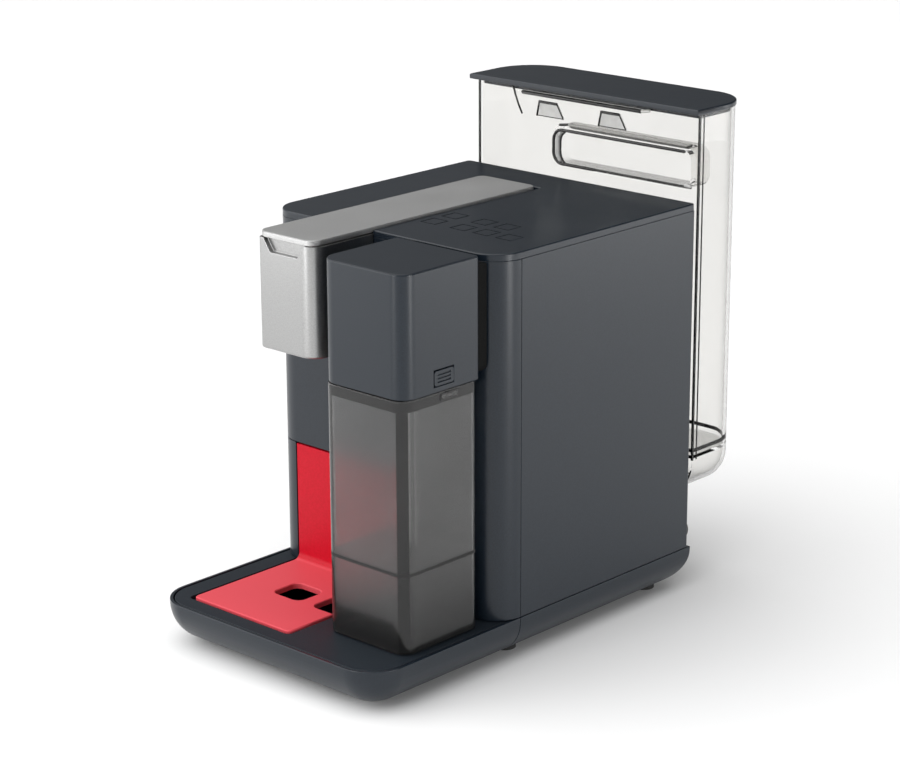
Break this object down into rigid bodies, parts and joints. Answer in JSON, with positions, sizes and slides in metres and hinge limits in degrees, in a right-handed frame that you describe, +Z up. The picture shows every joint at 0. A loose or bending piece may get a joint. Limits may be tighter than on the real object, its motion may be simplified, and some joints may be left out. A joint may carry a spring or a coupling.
{
  "type": "pod coffee machine",
  "caption": "Countertop pod coffee machine with an overhanging brew head, a front milk unit with a square jar, a drip tray with a red cup panel and a lift-off rear water tank.",
  "frame": {"origin": "on the table, under the middle of the bounding box", "axes": "+X to the right of someone who faces the machine, +Y to the back of the machine, +Z up"},
  "size_m": [0.214, 0.392, 0.3535],
  "materials": {
    "dark_casing": "fine-grained satin plastic, anthracite",
    "silver_metal": "bead-blasted satin",
    "red_panel": "smooth matte plastic, strong red",
    "smoke_clear": "smoke-tinted translucent plastic",
    "clear_plastic": "clear moulded plastic",
    "black_plastic": "plain matte plastic, black",
    "rubber_black": "soft black rubber",
    "steel": "plain steel",
    "heater_metal": "cast aluminium",
    "white_plastic": "plain moulded plastic",
    "board_green": "solder-masked circuit board",
    "hose_silicone": "milky silicone"
  },
  "bodies": {
    "machine": {"base_casing": "dark_casing", "rubber_feet": "rubber_black", "front_shell": "dark_casing", "left_panel": "dark_casing", "right_panel": "dark_casing", "rear_panel": "dark_casing", "panel_screws": "steel", "screw_posts": "black_plastic", "cord_gland": "rubber_black", "top_cover": "dark_casing", "touch_board": "board_green", "lever_pin": "steel", "pod_guide_plate": "black_plastic", "head_casing": "silver_metal", "outlet_nozzle": "black_plastic", "brew_block": "white_plastic", "needle_plate": "steel", "milk_dock": "black_plastic", "steam_nozzle": "steel", "tank_dock": "black_plastic", "inlet_seat": "rubber_black", "chassis": "black_plastic", "water_pump": "black_plastic", "pump_saddles": "rubber_black", "thermoblock": "heater_metal", "heater_stand": "white_plastic", "flow_meter": "white_plastic", "steam_valve": "black_plastic", "control_board": "board_green", "lever_switch": "black_plastic", "coffee_duct": "hose_silicone", "pump_hose": "hose_silicone", "heater_hose": "hose_silicone", "brew_hose": "hose_silicone", "suction_hose": "hose_silicone"},
    "tray_unit": {"drip_tray": "dark_casing", "tray_cover": "dark_casing", "cup_panel": "red_panel", "bin_front": "dark_casing", "pod_bin": "black_plastic"},
    "lever": {"lever": "silver_metal"},
    "brew_piston": {"brew_piston": "white_plastic", "piston_seal": "rubber_black"},
    "milk_unit": {"milk_block": "dark_casing", "frother": "black_plastic", "milk_spout": "black_plastic", "suction_tube": "hose_silicone", "jar_gasket": "rubber_black", "milk_jar": "smoke_clear"},
    "release_button": {"release_button": "dark_casing", "button_spring": "steel"},
    "water_tank": {"tank_body": "clear_plastic", "valve_cage": "white_plastic"},
    "tank_lid": {"tank_lid": "dark_casing"},
    "tank_valve": {"tank_valve": "black_plastic", "valve_spring": "steel"}
  },
  "joints": [
    {"name": "tray_slide", "type": "slide", "parent": "machine", "child": "tray_unit", "axis": [0, -1, 0], "range_m": [0, 0.15]},
    {"name": "lever_hinge", "type": "hinge", "parent": "machine", "child": "lever", "pos_m": [-0.033, 0.08, 0.283], "axis": [-1, 0, 0], "range_deg": [0, 80]},
    {"name": "piston_slide", "type": "slide", "parent": "machine", "child": "brew_piston", "axis": [0, 1, 0], "range_m": [0, 0.022]},
    {"name": "milk_unit_slide", "type": "slide", "parent": "machine", "child": "milk_unit", "axis": [0, -1, 0], "range_m": [0, 0.04]},
    {"name": "release_button_press", "type": "slide", "parent": "milk_unit", "child": "release_button", "axis": [-1, 0, 0], "range_m": [0, 0.0025], "stiffness_N_per_m": 600},
    {"name": "tank_lift", "type": "slide", "parent": "machine", "child": "water_tank", "axis": [0, 0, 1], "range_m": [-0.066, 0.03]},
    {"name": "tank_lid_lift", "type": "slide", "parent": "water_tank", "child": "tank_lid", "axis": [0, 0, 1], "range_m": [0, 0.03]},
    {"name": "tank_valve_lift", "type": "slide", "parent": "water_tank", "child": "tank_valve", "axis": [0, 0, 1], "range_m": [0, 0.004], "stiffness_N_per_m": 250, "springref_m": -0.004, "deforming": ["valve_spring"]}
  ],
  "couplings": [
    {"joint": "piston_slide", "follows": "lever_hinge", "m_per_rad": 0.0157}
  ]
}
